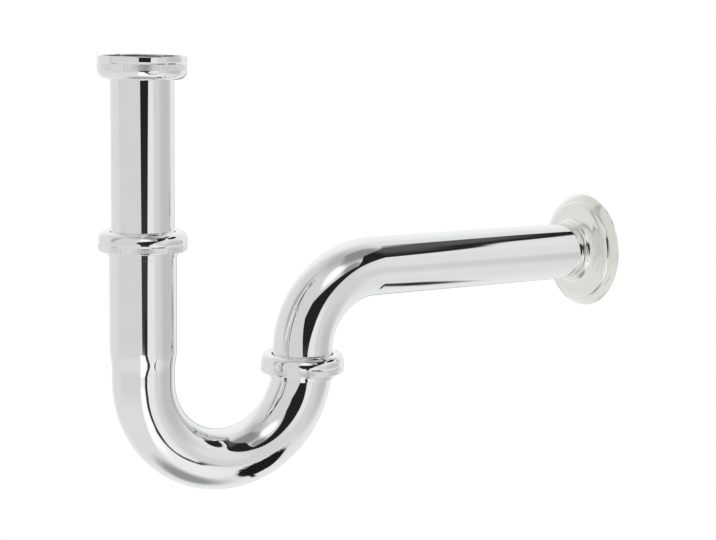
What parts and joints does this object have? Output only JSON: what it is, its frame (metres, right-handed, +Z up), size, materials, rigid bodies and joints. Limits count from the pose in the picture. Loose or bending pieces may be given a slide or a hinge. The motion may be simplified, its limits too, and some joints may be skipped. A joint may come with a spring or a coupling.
{
  "type": "tubular trap",
  "caption": "Chrome tubular basin trap: inlet tube sliding in a U-bend, round compression nuts, swivelling outlet elbow and a domed rosette that slides to the wall.",
  "frame": {"origin": "on the outlet tube's axis, in the plane of the wall, where the rosette's back rim lies", "axes": "+X along the outlet tube into the wall, +Z up along the inlet tube, +Y across the trap"},
  "size_m": [0.3164, 0.066, 0.2293],
  "materials": {
    "chrome_tube": "bright chrome plate on drawn brass tube",
    "chrome_nut": "bright chrome plate on turned brass",
    "polished_steel": "polished pressed stainless steel",
    "black_rubber": "moulded rubber",
    "white_plastic": "moulded plastic ring"
  },
  "bodies": {
    "outlet_elbow": {"outlet_elbow": "chrome_tube"},
    "u_bend": {"u_bend": "chrome_tube", "inlet_thread_collar": "chrome_tube", "outlet_thread_collar": "chrome_tube", "inlet_cone_seal": "black_rubber", "outlet_cone_seal": "black_rubber"},
    "inlet_tube": {"inlet_tube": "chrome_tube", "inlet_gasket": "black_rubber"},
    "inlet_union_nut": {"inlet_union_nut": "chrome_nut"},
    "inlet_slip_ring": {"inlet_slip_ring": "white_plastic"},
    "inlet_clamp_nut": {"inlet_clamp_nut": "chrome_nut"},
    "outlet_slip_ring": {"outlet_slip_ring": "white_plastic"},
    "outlet_clamp_nut": {"outlet_clamp_nut": "chrome_nut"},
    "wall_rosette": {"wall_rosette": "polished_steel"}
  },
  "joints": [
    {"name": "u_bend_swivel", "type": "hinge", "parent": "outlet_elbow", "child": "u_bend", "pos_m": [-0.192, 0, -0.0504], "axis": [0, 0, 1], "range_deg": [-135, 135]},
    {"name": "inlet_tube_slide", "type": "slide", "parent": "u_bend", "child": "inlet_tube", "axis": [0, 0, 1], "range_m": [-0.012, 0.025]},
    {"name": "inlet_union_nut_turn", "type": "hinge", "parent": "inlet_tube", "child": "inlet_union_nut", "pos_m": [-0.286, 0, 0.1055], "axis": [0, 0, 1], "continuous": true},
    {"name": "inlet_clamp_lift", "type": "slide", "parent": "u_bend", "child": "inlet_slip_ring", "axis": [0, 0, 1], "range_m": [0, 0.0058]},
    {"name": "inlet_clamp_turn", "type": "hinge", "parent": "inlet_slip_ring", "child": "inlet_clamp_nut", "pos_m": [-0.286, 0, 0.0267], "axis": [0, 0, 1], "range_deg": [0, 900]},
    {"name": "outlet_clamp_lift", "type": "slide", "parent": "u_bend", "child": "outlet_slip_ring", "axis": [0, 0, 1], "range_m": [0, 0.0058]},
    {"name": "outlet_clamp_turn", "type": "hinge", "parent": "outlet_slip_ring", "child": "outlet_clamp_nut", "pos_m": [-0.192, 0, -0.0454], "axis": [0, 0, 1], "range_deg": [0, 900]},
    {"name": "wall_rosette_slide", "type": "slide", "parent": "outlet_elbow", "child": "wall_rosette", "axis": [1, 0, 0], "range_m": [-0.125, 0]}
  ],
  "couplings": [
    {"joint": "inlet_clamp_lift", "follows": "inlet_clamp_turn", "m_per_rad": 0.00036749},
    {"joint": "outlet_clamp_lift", "follows": "outlet_clamp_turn", "m_per_rad": 0.00036749}
  ]
}
